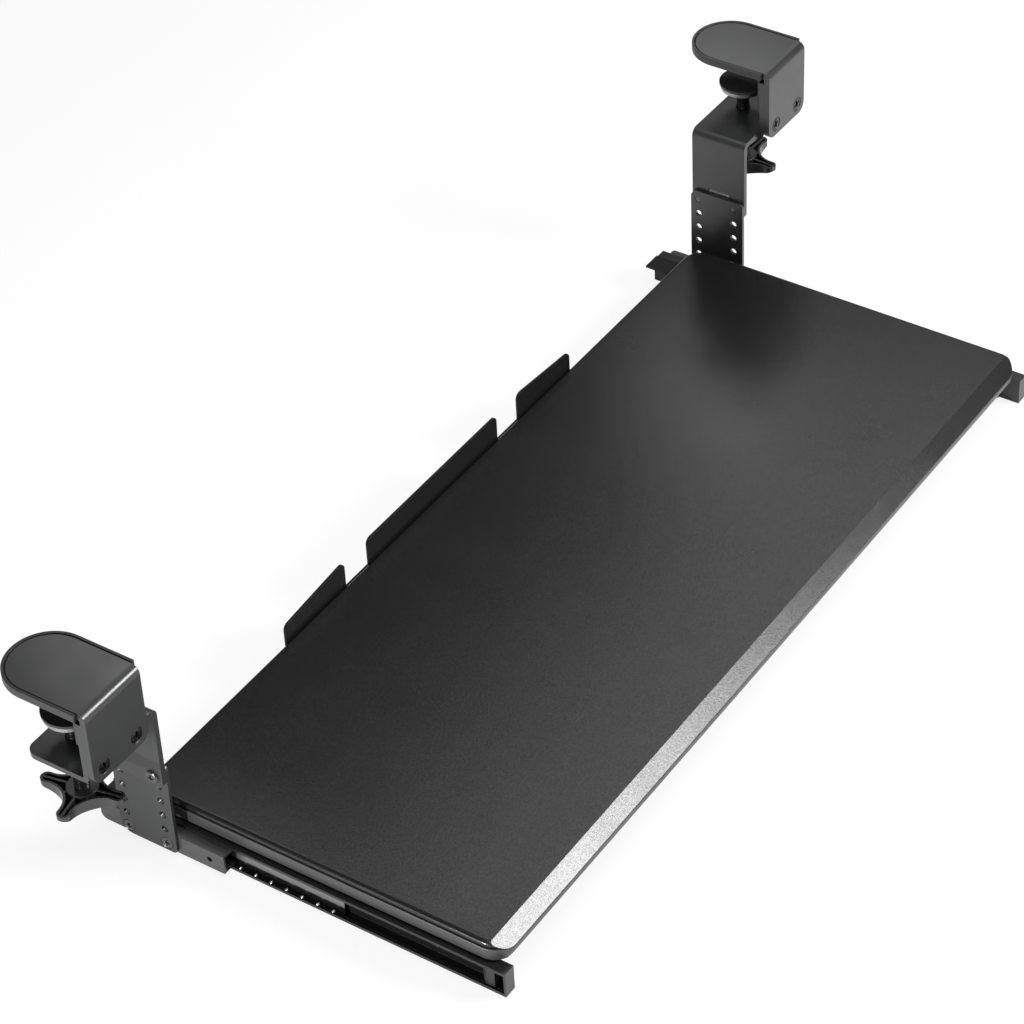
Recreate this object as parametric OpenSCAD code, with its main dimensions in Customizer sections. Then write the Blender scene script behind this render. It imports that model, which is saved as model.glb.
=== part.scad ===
// Keyboard tray that clamps to the front edge of a desk.
// A thin board hangs between two bent steel brackets and runs in and out on ball-bearing slides.
// Origin: the desk's front top edge, on the tray's middle line.
// X runs along the desk edge to the user's right, Y away from the user, Z up.
// Everything is drawn for the right side, and the left side is its mirror image.

/* [Tray board] */
// Width of the board along the desk edge
board_w = 686; // [600:1:760]
// Depth of the board, front to rear
board_d = 279; // [260:1:285]
// Thickness of the board
board_t = 15; // [14:0.5:16]
// Height from the desk's top down to the board's top face
tray_drop = 146; // [144:1:150]
// How far behind the desk's front edge the board's rear edge is, tray pulled out
board_rear_y = 36; // [34:1:38]
// Corner radius of the board in plan
board_corner_r = 15; // [12:1:18]
// Radius of the rolled top edge at the sides and rear
top_round_r = 3; // [2:0.5:3]
// Depth of the front bevel, measured back from the front edge
bevel_run = 10; // [8:1:12]
// Height that the front bevel drops
bevel_drop = 8; // [5:0.5:8]
// Size of the small bevel under the front edge
under_bevel = 3.5; // [1:0.5:3.5]
// Thickness of the strip that covers the board's edge
band_t = 2; // [1:0.5:3]
// Thickness of the top laminate that overlaps the edge strip
laminate_t = 3.5; // [3.5:0.1:4]

/* [Rear stop] */
// Sideways offset of the rear stop from the middle line
stop_offset = -9; // [-20:1:20]
// Thickness of the rear stop's sheet
stop_t = 1.6; // [1:0.1:2]
// Length of the middle tab
stop_mid_len = 160; // [120:1:180]
// Length of each outer tab
stop_outer_len = 69; // [40:1:80]
// Gap between neighbouring tabs
stop_gap = 27; // [15:0.5:40]
// Height of the middle tab above the board
stop_h = 20; // [18:0.5:23]
// Height of an outer tab above the board at its outer end
stop_low_h = 14.5; // [13:0.5:17]
// Corner radius of the tabs
stop_corner_r = 5; // [3:0.5:6]
// Depth of the flange under the board
stop_flange_d = 18; // [14:1:24]
// Distance between the stop's screws
stop_screw_gap = 100; // [90:1:104]

/* [Desk clamp] */
// Distance from the middle line to the centre of each clamp
clamp_x = 403; // [400:0.5:405]
// Width of the clamp's sheet
clamp_w = 52.5; // [50:0.5:54]
// Thickness of the upper clamp's sheet
clamp_t = 4.5; // [4:0.5:5]
// Thickness of the lower bracket's sheet
bracket_t = 4; // [3.5:0.5:4.5]
// Outer radius of the upper clamp's bend
clamp_bend_r = 6; // [5.5:0.5:8]
// Outer radius of the lower bracket's bend under the front plate
flange_bend_r = 5.5; // [5:0.5:6]
// Outer radius of the bend between jaw and hanger
jaw_bend_r = 6; // [5.5:0.5:8]
// Gap between the lower bracket's flange and the desk's front
desk_gap = 2; // [1.5:0.5:2.5]
// Height from the desk's top down to the bottom of the clamp
clamp_drop = 53; // [52:0.5:56]
// Radius of the front plate's lower corners
front_corner_r = 8; // [4:0.5:9]
// Distance between the two clamp screws
clamp_screw_gap = 31.4; // [28:0.2:33]
// Diameter of a clamp screw's thread
clamp_screw_d = 6; // [5:0.5:6]
// Diameter of a clamp screw's countersunk head
clamp_head_d = 11; // [10:0.5:12]
// Height of the clamp screws above the clamp's bottom
clamp_screw_up = 9.5; // [9.2:0.1:11]
// Distance behind the desk edge to the centre of the upper plate's round end
plate_arc_y = 38.5; // [36:0.5:40]

/* [Clamp pads and screw] */
// Thickness of the rubber under the upper plate
pad_base_t = 0.8; // [0.6:0.1:1]
// Thickness of the rubber rim round the upper plate
pad_rim_t = 2; // [1.5:0.1:2.5]
// Height of the rubber rim above the upper plate
pad_rim_up = 0.3; // [0:0.1:1]
// Gap between the upper plate and the rubber rim
pad_rim_gap = 0.8; // [0.5:0.1:1]
// Thickness of the desk top that the clamp is closed on
desk_t = 25.4; // [20:0.2:30]
// Distance behind the desk edge to the clamping spindle
spindle_y = 27.5; // [26:0.5:28]
// Outer diameter of the spindle's thread
spindle_d = 10; // [8:1:10]
// Diameter of the pin that holds the pressure disc
spindle_pin_d = 7; // [5:0.5:7]
// Radius of the pressure disc
disc_r = 17; // [14:0.5:18]
// Thickness of the pressure disc
disc_t = 3.6; // [3:0.2:4]
// Thickness of the rubber on the pressure disc
disc_pad_t = 2; // [1.5:0.5:3]
// Height of the socket under the pressure disc
socket_h = 5; // [4:0.5:5]
// Width across the flats of the welded nut
nut_af = 17; // [16:0.5:19]
// Height of the welded nut
nut_h = 8; // [7:0.5:10]

/* [Knob] */
// Height from the desk's top down to the top of the knob's hub
knob_drop = 92; // [90:0.5:95]
// Radius from the centre to an arm's tip
knob_r = 29.5; // [28:0.5:31]
// Radius of an arm's round tip
knob_tip_r = 4.6; // [4:0.1:5.2]
// Radius from the centre to the waist between two arms
knob_waist_r = 13.5; // [13.5:0.5:15]
// Height of the knob at its centre, from the rim down to the crown
knob_h = 10.3; // [9.5:0.1:12]
// Height of the knob's wall at an arm's tip
knob_edge_h = 3.3; // [2.8:0.1:4]
// Thickness of the knob's outer wall
knob_wall = 1.6; // [1.4:0.1:2]
// Thickness of the knob's crowned floor
knob_floor_t = 2; // [1.6:0.1:2.4]
// Thickness of the ribs
knob_rib_t = 1.6; // [1.2:0.1:2]
// Radius of the hub
knob_hub_r = 10.5; // [9:0.5:11]
// Height of the hub above the rim
knob_hub_up = 1; // [0.5:0.5:2]
// Angle of the first arm on the right knob
knob_turn_right = 86; // [0:1:90]
// Angle of the first arm on the left knob, as its mirror image
knob_turn_left = 79; // [0:1:90]

/* [Side brackets] */
// Distance from the middle line to the face where hanger and side plate meet
bracket_x = 357; // [356.5:0.5:357.5]
// Thickness of the side plate
side_t = 2.5; // [2.5:0.5:3]
// Rear edge of hanger and side plate behind the desk's front edge
side_rear_y = 45; // [45:0.5:48]
// Distance behind the desk edge to the front column of holes
hole_front_y = 7.4; // [7:0.1:8]
// Distance between the two columns of holes
hole_column_gap = 31; // [30:0.5:32]
// Height from the desk's top down to the first row of holes
row_drop = 109.5; // [109:0.5:110]
// Distance between rows of holes
row_pitch = 12.6; // [12.5:0.1:12.7]
// Diameter of the adjusting holes
adjust_hole_d = 5.2; // [5:0.1:5.6]
// Height from the desk's top down to the side plate's top edge
side_top_drop = 102; // [101.5:0.5:103]
// Distance from the last row of holes to the side plate's bottom edge
side_low_margin = 6.2; // [6:0.1:7]
// Height from the desk's top down to the hanger's bottom edge
hanger_drop = 117.5; // [116:0.5:120]
// Length of the recess pressed into the hanger's inner face
recess_len = 18.7; // [16:0.1:20]
// Height of the recess
recess_h = 3.4; // [3:0.1:3.6]
// Depth of the recess
recess_depth = 2; // [1.5:0.1:2.5]
// Diameter of a hanger screw's low round head
hanger_head_d = 9.8; // [9:0.2:11]
// Height of a hanger screw's head
hanger_head_h = 2; // [1.6:0.1:2.4]
// Diameter of a slide screw's countersunk head
slide_head_d = 9.5; // [8.5:0.1:9.6]
// Height of a slide screw's head
slide_head_h = 1.6; // [1.4:0.1:2]

/* [Slides] */
// Distance from the middle line to the outer face of the moving channel's lips
lip_x = 346.6; // [346.6:0.1:346.8]
// Height of the moving channel
channel_h = 20; // [20:0.5:20.5]
// Depth of the moving channel
channel_d = 9.6; // [9.6:0.1:9.8]
// Thickness of the slides' sheet
rail_t = 1.5; // [1.4:0.1:1.5]
// Height of the fixed member
fixed_h = 15; // [14.8:0.1:15]
// Front end of the fixed member, in front of the desk edge
fixed_front_y = -37; // [-40:1:-36]
// Rear end of the fixed member, behind the desk edge
fixed_rear_y = 64; // [60:1:66]
// How far the moving channel reaches in front of the board's front edge
rail_front_over = 4; // [1:1:6]
// How far the moving channel reaches behind the board's rear edge
rail_rear_over = 30; // [28:1:32]
// Diameter of the balls
ball_d = 2.8; // [2.6:0.1:2.8]
// Distance between balls
ball_pitch = 12.2; // [11.8:0.1:12.6]
// Front ball's distance in front of the desk edge
first_ball_y = -115; // [-117:1:-113]
// Number of balls in one row
ball_rows = 13; // [9:1:13]
// Front end of the ball cage
cage_front_y = -122.5; // [-125:0.5:-121]
// Rear end of the ball cage
cage_rear_y = 40; // [36:1:44]

/* [Hidden] */
$fn = 96;
run_gap = 0.05;                        // gap round a part that turns or rolls
seat_gap = 0.1;                        // gap round a screw and between seated sheets
press_gap = 0.02;                      // gap round a driven or pressed part
loose_gap = 0.3;                       // gap round a screw in a clearance hole
join = 0.01;                           // overlap that joins two lengths of one piece
past = 1;                              // how far a cutting shape reaches past a face

// Board
board_top_z = -tray_drop;
board_low_z = board_top_z - board_t;
board_front_y = board_rear_y - board_d;
half_w = board_w / 2;
seam_z = board_top_z - laminate_t;
bevel_slope = bevel_drop / bevel_run;
band_bevel_gap = 0.4;                  // the strip ends this far below the bevel

// Clamp
clamp_low_z = -clamp_drop;
jaw_top_z = clamp_low_z + bracket_t;
plate_low_z = pad_base_t;
plate_top_z = plate_low_z + clamp_t;
flange_in_y = -desk_gap;
flange_out_y = flange_in_y - bracket_t;
flange_top_z = -4;
front_y = flange_out_y - clamp_t;
clamp_x0 = clamp_x - clamp_w / 2;
clamp_x1 = clamp_x + clamp_w / 2;
plate_r = clamp_w / 2;
pad_r = plate_r + pad_rim_gap + pad_rim_t;
pad_front_y = front_y + clamp_bend_r;
pad_liner_t = desk_gap - 0.5;
pad_liner_z = -0.85 * desk_t;
screw_z = clamp_low_z + clamp_screw_up;
clamp_screw_r = clamp_screw_d / 2;
clamp_head_r = clamp_head_d / 2;
clamp_head_h = 2.6;
head_sink = 0.3;                       // how far a clamp screw's head lies below the face

// Clamping screw and knob
disc_pad_top_z = -desk_t;
disc_top_z = disc_pad_top_z - disc_pad_t;
disc_low_z = disc_top_z - disc_t;
disc_pad_over = 1;                     // the rubber is this much wider than the disc all round
socket_low_z = disc_low_z - socket_h;
socket_r = 8.5;
socket_low_r = 7.2;
nut_low_z = clamp_low_z - nut_h;
spindle_r = spindle_d / 2;
pin_r = spindle_pin_d / 2;
hub_top_z = -knob_drop;
rim_z = hub_top_z - knob_hub_up;
crown_z = rim_z - knob_h;
crown_sag = knob_h - knob_edge_h;
crown_r = (knob_r * knob_r + crown_sag * crown_sag) / (2 * crown_sag);

// Brackets
side_in_x = bracket_x - side_t;
side_front_y = flange_out_y + flange_bend_r;
hole_y = [hole_front_y, hole_front_y + hole_column_gap];
last_row = 5;
slide_z = -row_drop - last_row * row_pitch;    // the slide is centred on the last row of holes
adjust_r = adjust_hole_d / 2;
side_screw_r = adjust_r - seat_gap;
slide_head_r = slide_head_d / 2;
slide_head_x = bracket_x - seat_gap;
hanger_head_x = bracket_x + bracket_t;
hanger_head_r = hanger_head_d / 2;
hanger_corner_r = 5;

// Slides
rail_front_y = board_front_y - rail_front_over;
rail_rear_y = board_rear_y + rail_rear_over;
channel_in_x = lip_x - channel_d;
channel_low_z = slide_z - channel_h / 2;
channel_top_z = slide_z + channel_h / 2;
web_in_x = channel_in_x + rail_t;
lip_t = 1.2;
lip_over = 0.2;                        // the lips reach this far past the line of the balls
ball_r = ball_d / 2;
race_r = ball_r + run_gap;
ball_x = lip_x - 2;
ball_off = fixed_h / 2 + 0.5;          // height of a ball row above the slide's middle
fixed_in_x = ball_x - 1.7;
cage_x = fixed_in_x - 1.5;
cage_t = 1;
cage_flange_t = 0.8;
cage_flange_x = ball_x + 0.6;
bumper_front_y = rail_front_y + 9.5;
bumper_len = 9.5;
bumper_nose = 3;                       // length of the bumper's slanted end

// Flanges and their fasteners
tray_flange_t = 1.5;
tray_flange_w = 16;
tray_flange_in = 16;                   // the flange starts this far behind the channel's front
tray_lip_h = 8.5;
tray_flange_x = channel_in_x - tray_flange_w;
tray_flange_z = board_low_z - tray_flange_t;
tray_flange_y = rail_front_y + tray_flange_in;
wood_screw_r = 1.9;
wood_head_r = 4;
wood_head_h = 2.2;
wood_grip = 10;                        // how deep a screw goes into the board
tray_screw_x = channel_in_x - tray_flange_w / 2;
tray_screw_front = 33;                  // first screw behind the board's front edge
tray_screw_rear = 16;                   // last screw before the board's rear edge
tray_screw_gap = (board_d - tray_screw_front - tray_screw_rear) / 3;
tray_screw_y = [for (i = [0 : 3]) board_front_y + tray_screw_front + i * tray_screw_gap];
rivet_r = 2;
rivet_head_r = 3.4;
rivet_head_h = 1.2;
rivet_y = [for (i = [-1 : 1]) (rail_front_y + rail_rear_y) / 2 + i * 100];
stop_y = board_rear_y + seat_gap;
stop_half = stop_mid_len / 2 + stop_gap + stop_outer_len;
stop_web_z = board_top_z - 2;
stop_screw_x = [for (i = [-1.5 : 1 : 1.5]) stop_offset + i * stop_screw_gap];
stop_screw_y = board_rear_y - stop_flange_d / 2;

// Extrude a Y-Z outline along X
module along_x(x0, w) {
    translate([x0, 0, 0]) rotate([90, 0, 90]) linear_extrude(height = w) children();
}

// Extrude an X-Z outline along Y
module along_y(y0, d) {
    translate([0, y0 + d, 0]) rotate([90, 0, 0]) linear_extrude(height = d) children();
}

// Extrude an X-Y outline along Z
module along_z(z0, h) {
    translate([0, 0, z0]) linear_extrude(height = h) children();
}

// Draw the same shape on the left
module on_left() {
    mirror([1, 0, 0]) children();
}

// Draw a shape on the right and its mirror image on the left
module on_both() {
    children();
    on_left() children();
}

// Rectangle given by two corners
module box2(x0, y0, x1, y1) {
    translate([x0, y0]) square([x1 - x0, y1 - y0]);
}

// What a rounded corner takes away: x and y give the corner, sx and sy point out of it
module corner_cut(x, y, sx, sy, r) {
    translate([x, y]) difference() {
        translate([sx > 0 ? -r : -past, sy > 0 ? -r : -past]) square(r + past);
        translate([-sx * r, -sy * r]) circle(r);
    }
}

// Rectangle with a radius for each corner: low left, low right, top right, top left
module soft_box(x0, y0, x1, y1, r) {
    difference() {
        box2(x0, y0, x1, y1);
        if (r[0] > 0) corner_cut(x0, y0, -1, -1, r[0]);
        if (r[1] > 0) corner_cut(x1, y0, 1, -1, r[1]);
        if (r[2] > 0) corner_cut(x1, y1, 1, 1, r[2]);
        if (r[3] > 0) corner_cut(x0, y1, -1, 1, r[3]);
    }
}

// Quarter of a bent sheet: qx and qy choose the quadrant round the centre
module bend2(x, y, r_out, t, qx, qy) {
    translate([x, y]) intersection() {
        difference() {
            circle(r_out);
            circle(r_out - t);
        }
        translate([qx > 0 ? 0 : -r_out, qy > 0 ? 0 : -r_out]) square(r_out);
    }
}

// Round shape along X, from x0 to x1, with a radius at each end
module rod_x(x0, x1, y, z, r0, r1) {
    translate([x0, y, z]) rotate([0, 90, 0]) cylinder(h = x1 - x0, r1 = r0, r2 = r1);
}

// Round shape along Y, from y0 to y1, with a radius at each end
module rod_y(x, y0, y1, z, r0, r1) {
    translate([x, y0, z]) rotate([-90, 0, 0]) cylinder(h = y1 - y0, r1 = r0, r2 = r1);
}

// Round shape along Z, from z0 to z1, with a radius at each end
module rod_z(x, y, z0, z1, r0, r1) {
    translate([x, y, z0]) cylinder(h = z1 - z0, r1 = r0, r2 = r1);
}

// Outline of the board, drawn in by a margin
module board_outline(margin) {
    r = board_corner_r - margin;
    x = half_w - margin;
    soft_box(-x, board_front_y + margin, x, board_rear_y - margin, [r, r, r, r]);
}

// What the rolled top edge takes away, as an outline: the edge is at x = 0
module roll_profile() {
    difference() {
        translate([-top_round_r, -top_round_r]) square(top_round_r + past);
        translate([-top_round_r, -top_round_r]) circle(top_round_r);
        translate([-top_round_r - past, -top_round_r - past]) square([past, top_round_r + 3 * past]);
    }
}

// Rolled edge round one corner of the board
module roll_corner(sx, sy) {
    y_edge = sy > 0 ? board_rear_y : board_front_y;
    turn = sy > 0 ? (sx > 0 ? 0 : 90) : (sx > 0 ? -90 : 180);
    translate([sx * (half_w - board_corner_r), y_edge - sy * board_corner_r, board_top_z])
        rotate([0, 0, turn])
            rotate_extrude(angle = 90) translate([board_corner_r, 0]) roll_profile();
}

// What the front bevel takes away, lowered by a drop
module bevel_cut(drop) {
    z = board_top_z - drop;
    along_x(-half_w - past, board_w + 2 * past)
        polygon([
            [board_front_y + bevel_run, z],
            [board_front_y - past, z - bevel_drop - bevel_slope * past],
            [board_front_y - past, board_top_z + past],
            [board_front_y + bevel_run, board_top_z + past]
        ]);
}

// What the small bevel under the front edge takes away
module under_cut() {
    along_x(-half_w - past, board_w + 2 * past)
        polygon([
            [board_front_y - past, board_low_z + under_bevel + past],
            [board_front_y + under_bevel + past, board_low_z - past],
            [board_front_y - past, board_low_z - past]
        ]);
}

// Whole board before the edge strip is taken out
module board_solid() {
    difference() {
        along_z(board_low_z, board_t) board_outline(0);
        on_both() along_y(board_front_y + board_corner_r, board_d - 2 * board_corner_r)
            translate([half_w, board_top_z]) roll_profile();
        for (sx = [-1, 1], sy = [-1, 1]) roll_corner(sx, sy);
        along_x(-half_w + board_corner_r, board_w - 2 * board_corner_r)
            translate([board_rear_y, board_top_z]) roll_profile();
        bevel_cut(0);
        under_cut();
    }
}

// Edge strip as a closed ring below the laminate
module band_solid() {
    difference() {
        intersection() {
            board_solid();
            along_z(board_low_z, seam_z - board_low_z) difference() {
                board_outline(0);
                board_outline(band_t);
            }
        }
        bevel_cut(band_bevel_gap);
    }
}

module edge_band() {
    color("#5e5e5e") band_solid();
}

// Blind hole for a wood screw, from below the board
module pilot_hole(x, y) {
    r = wood_screw_r + press_gap;
    rod_z(x, y, board_low_z - past, board_low_z + wood_grip + past, r, r);
}

module tray_board() {
    color("#2b2b2b") difference() {
        board_solid();
        band_solid();
        on_both() for (y = tray_screw_y) pilot_hole(tray_screw_x, y);
        for (x = stop_screw_x) pilot_hole(x, stop_screw_y);
    }
}

// One tab of the rear stop, with its own height at each end
module stop_tab(x0, x1, h0, h1) {
    r = stop_corner_r;
    a = [x0 + r, board_top_z + h0 - r];
    b = [x1 - r, board_top_z + h1 - r];
    run = norm(b - a);
    n = [a[1] - b[1], b[0] - a[0]] / run;
    translate(a) circle(r);
    translate(b) circle(r);
    polygon([[x0, board_low_z], [x0, a[1]], a + r * n, b + r * n, [x1, b[1]], [x1, board_low_z]]);
}

module rear_stop() {
    x_mid = stop_mid_len / 2;
    x_in = x_mid + stop_gap;
    bend_r = stop_t + 0.8;
    out_y = stop_y + stop_t;
    low_z = board_low_z - stop_t;
    hole_r = wood_screw_r + seat_gap;
    color("#3c3c3c") difference() {
        translate([stop_offset, 0, 0]) {
            along_y(stop_y, stop_t) {
                stop_tab(-x_mid, x_mid, stop_h, stop_h);
                stop_tab(x_in, stop_half, stop_h, stop_low_h);
                stop_tab(-stop_half, -x_in, stop_low_h, stop_h);
                box2(-stop_half, low_z + bend_r, stop_half, stop_web_z);
            }
            along_x(-stop_half, 2 * stop_half)
                soft_box(board_rear_y - stop_flange_d, low_z, out_y, board_low_z, [0, bend_r, 0, 0]);
            along_x(-stop_half, 2 * stop_half)
                soft_box(stop_y, low_z, out_y, board_low_z + bend_r, [0, stop_t, 0, 0]);
        }
        for (x = stop_screw_x) rod_z(x, stop_screw_y, low_z - past, board_low_z + past, hole_r, hole_r);
    }
}

// Pan-head screw driven up into the board
module wood_screw(x, y, seat_z) {
    rod_z(x, y, seat_z - wood_head_h, seat_z, 0.8 * wood_head_r, wood_head_r);
    rod_z(x, y, seat_z - join, board_low_z + wood_grip, wood_screw_r, wood_screw_r);
}

module stop_screws() {
    color("#2e2e2e") for (x = stop_screw_x) wood_screw(x, stop_screw_y, board_low_z - stop_t);
}

module tray_screws() {
    color("#2e2e2e") on_both() for (y = tray_screw_y) wood_screw(tray_screw_x, y, tray_flange_z);
}

// Flange that hangs the moving channel under the board
module tray_flange() {
    len = rail_rear_y - tray_flange_y;
    screw_hole_r = wood_screw_r + seat_gap;
    rivet_hole_r = rivet_r + seat_gap;
    in_x = channel_in_x - tray_flange_t;
    color("#3a3a3a") difference() {
        union() {
            along_y(tray_flange_y, len) {
                box2(tray_flange_x, tray_flange_z, channel_in_x, board_low_z);
                box2(in_x, channel_low_z, channel_in_x, board_low_z);
            }
            along_y(tray_flange_y, len - tray_flange_w / 2)
                box2(tray_flange_x, tray_flange_z - tray_lip_h, tray_flange_x + tray_flange_t, board_low_z);
        }
        for (y = tray_screw_y)
            rod_z(tray_screw_x, y, tray_flange_z - past, board_low_z + past, screw_hole_r, screw_hole_r);
        for (y = rivet_y)
            rod_x(in_x - past, channel_in_x + past, y, slide_z, rivet_hole_r, rivet_hole_r);
    }
}

module tray_flange_right() {
    tray_flange();
}

module tray_flange_left() {
    on_left() tray_flange();
}

// Rivet through the flange and the moving channel
module rivet(y) {
    in_x = channel_in_x - tray_flange_t;
    edge_r = rivet_head_r - 0.6;
    rod_x(in_x - rivet_head_h, in_x, y, slide_z, edge_r, rivet_head_r);
    rod_x(in_x - join, web_in_x + join, y, slide_z, rivet_r, rivet_r);
    rod_x(web_in_x, web_in_x + rivet_head_h, y, slide_z, rivet_head_r, edge_r);
}

module slide_rivets() {
    color("#808080") on_both() for (y = rivet_y) rivet(y);
}

// Ball races run the whole length of a member
module races(y0, y1) {
    for (s = [-1, 1]) rod_y(ball_x, y0 - past, y1 + past, slide_z + s * ball_off, race_r, race_r);
}

// Upper half of the moving channel's section
module channel_half() {
    box2(channel_in_x, slide_z, web_in_x, channel_top_z);
    box2(channel_in_x, channel_top_z - rail_t, lip_x, channel_top_z);
    box2(lip_x - lip_t, slide_z + ball_off - lip_over, lip_x, channel_top_z);
}

module moving_rail() {
    rivet_hole_r = rivet_r + seat_gap;
    end_r = 2;
    color("#262626") difference() {
        union() {
            along_y(rail_front_y, rail_rear_y - rail_front_y) {
                channel_half();
                translate([0, 2 * slide_z]) mirror([0, 1]) channel_half();
            }
            along_y(rail_front_y, rail_t)
                soft_box(channel_in_x, channel_low_z, lip_x, channel_top_z, [0, end_r, end_r, 0]);
        }
        races(rail_front_y + rail_t + past, rail_rear_y);
        for (y = rivet_y)
            rod_x(channel_in_x - past, web_in_x + past, y, slide_z, rivet_hole_r, rivet_hole_r);
    }
}

module moving_rail_right() {
    moving_rail();
}

module moving_rail_left() {
    on_left() moving_rail();
}

// Rubber block that stops the tray when it is pushed in
module rail_bumper() {
    h = channel_h / 2 - rail_t - seat_gap;
    out_x = lip_x - 2;
    rear_y = bumper_front_y + bumper_len;
    color("#3f3f3f") along_z(slide_z - h, 2 * h)
        polygon([
            [web_in_x, bumper_front_y],
            [out_x, bumper_front_y],
            [out_x, rear_y - bumper_nose],
            [out_x - 2, rear_y],
            [web_in_x, rear_y]
        ]);
}

module rail_bumper_right() {
    rail_bumper();
}

module rail_bumper_left() {
    on_left() rail_bumper();
}

module fixed_rail() {
    h = fixed_h / 2;
    hole_r = side_screw_r + run_gap;
    spare_r = 2;
    color("#8c8c8c") difference() {
        intersection() {
            along_y(fixed_front_y, fixed_rear_y - fixed_front_y) difference() {
                box2(fixed_in_x, slide_z - h, side_in_x, slide_z + h);
                box2(fixed_in_x - past, slide_z - h + rail_t, side_in_x - rail_t, slide_z + h - rail_t);
            }
            along_x(fixed_in_x - past, side_in_x - fixed_in_x + 2 * past)
                soft_box(fixed_front_y, slide_z - h, fixed_rear_y, slide_z + h, [1, 5, 5, 1]);
        }
        races(fixed_front_y, fixed_rear_y);
        for (y = hole_y) rod_x(side_in_x - rail_t - past, side_in_x + past, y, slide_z, hole_r, hole_r);
        rod_x(side_in_x - rail_t - past, side_in_x + past, fixed_front_y + 12, slide_z, spare_r, spare_r);
    }
}

module fixed_rail_right() {
    fixed_rail();
}

module fixed_rail_left() {
    on_left() fixed_rail();
}

// Sheet strip with open pockets that keep the balls apart
module ball_cage() {
    half_t = cage_flange_t / 2;
    z1 = ball_off + half_t;
    color("#a0a0a0") difference() {
        along_y(cage_front_y, cage_rear_y - cage_front_y) {
            box2(cage_x, slide_z - z1, cage_x + cage_t, slide_z + z1);
            for (z = [slide_z - ball_off, slide_z + ball_off])
                box2(cage_x, z - half_t, cage_flange_x, z + half_t);
        }
        for (z = [slide_z - ball_off, slide_z + ball_off], i = [0 : ball_rows - 1])
            rod_z(ball_x, first_ball_y + i * ball_pitch, z - past, z + past, race_r, race_r);
    }
}

module ball_cage_right() {
    ball_cage();
}

module ball_cage_left() {
    on_left() ball_cage();
}

module balls() {
    color("#e6e6e6") for (z = [slide_z - ball_off, slide_z + ball_off], i = [0 : ball_rows - 1])
        translate([ball_x, first_ball_y + i * ball_pitch, z]) sphere(ball_r);
}

module balls_right() {
    balls();
}

module balls_left() {
    on_left() balls();
}

// Holes of both columns, from one row to another
module side_holes(x0, x1, row0, row1, r) {
    for (i = [row0 : row1], y = hole_y) rod_x(x0, x1, y, -row_drop - i * row_pitch, r, r);
}

module side_plate() {
    low_z = slide_z - side_low_margin;
    head_r = slide_head_r + 2 * seat_gap;
    cone_r = side_screw_r + 2 * seat_gap;
    slant = 3;                         // size of the slanted corner at the top, rear
    color("#8a8a8a") difference() {
        along_x(side_in_x, side_t) difference() {
            soft_box(side_front_y, low_z, side_rear_y, -side_top_drop, [3.5, 9, 0, 3]);
            polygon([
                [side_rear_y - slant, -side_top_drop + join],
                [side_rear_y + join, -side_top_drop - 1.5 * slant],
                [side_rear_y + past, -side_top_drop + past]
            ]);
        }
        side_holes(side_in_x - past, bracket_x + past, 0, last_row, adjust_r);
        for (y = hole_y) {
            rod_x(slide_head_x - slide_head_h, slide_head_x, y, slide_z, cone_r, head_r);
            rod_x(slide_head_x - join, bracket_x + past, y, slide_z, head_r, head_r);
        }
    }
}

module side_plate_right() {
    side_plate();
}

module side_plate_left() {
    on_left() side_plate();
}

// Screw with a low round head on the hanger's outer face
module hanger_screw(y) {
    h = hanger_head_h;
    r = hanger_head_r;
    x = hanger_head_x;
    rod_x(x, x + 0.4 * h, y, -row_drop, r, r);
    rod_x(x + 0.4 * h, x + 0.75 * h, y, -row_drop, r, 0.88 * r);
    rod_x(x + 0.75 * h, x + h, y, -row_drop, 0.88 * r, 0.62 * r);
    rod_x(side_in_x + seat_gap, x + join, y, -row_drop, side_screw_r, side_screw_r);
}

module hanger_screws() {
    color("#4a4a4a") on_both() for (y = hole_y) hanger_screw(y);
}

// Countersunk screw that holds the slide's fixed member on the side plate
module slide_screw(y) {
    rod_x(slide_head_x - slide_head_h, slide_head_x, y, slide_z, side_screw_r, slide_head_r);
    rod_x(side_in_x - rail_t - 2, slide_head_x - slide_head_h + join, y, slide_z, side_screw_r, side_screw_r);
}

module slide_screws() {
    color("#4a4a4a") on_both() for (y = hole_y) slide_screw(y);
}

// Places of the two clamp screws
module each_clamp_screw() {
    for (s = [-1, 1]) translate([clamp_x + s * clamp_screw_gap / 2, 0, screw_z]) children();
}

// Upper clamp: a plate with a round end, bent down into the front plate
module clamp_top() {
    cy = front_y + clamp_bend_r;
    cz = plate_top_z - clamp_bend_r;
    rear_y = plate_arc_y + plate_r;
    sink_y = front_y + head_sink;
    hole_r = clamp_screw_r + loose_gap;
    cone_r = clamp_head_r + loose_gap;
    low_corners = [front_corner_r, front_corner_r, 0, 0];
    color("#5c5c5c") difference() {
        intersection() {
            along_x(clamp_x0, clamp_w) {
                box2(cy, plate_low_z, rear_y, plate_top_z);
                bend2(cy, cz, clamp_bend_r, clamp_t, -1, 1);
                box2(front_y, clamp_low_z, flange_out_y, cz);
            }
            along_z(clamp_low_z - past, clamp_drop + plate_top_z + 2 * past) {
                box2(clamp_x0, front_y - past, clamp_x1, plate_arc_y);
                translate([clamp_x, plate_arc_y]) circle(plate_r);
            }
            along_y(front_y - past, rear_y - front_y + 2 * past)
                soft_box(clamp_x0, clamp_low_z, clamp_x1, plate_top_z + past, low_corners);
        }
        each_clamp_screw() {
            rod_y(0, front_y - past, flange_out_y + past, 0, hole_r, hole_r);
            rod_y(0, front_y - past, sink_y, 0, cone_r, cone_r);
            rod_y(0, sink_y - join, sink_y + clamp_head_h, 0, cone_r, hole_r);
        }
    }
}

module clamp_top_right() {
    clamp_top();
}

module clamp_top_left() {
    on_left() clamp_top();
}

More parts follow.
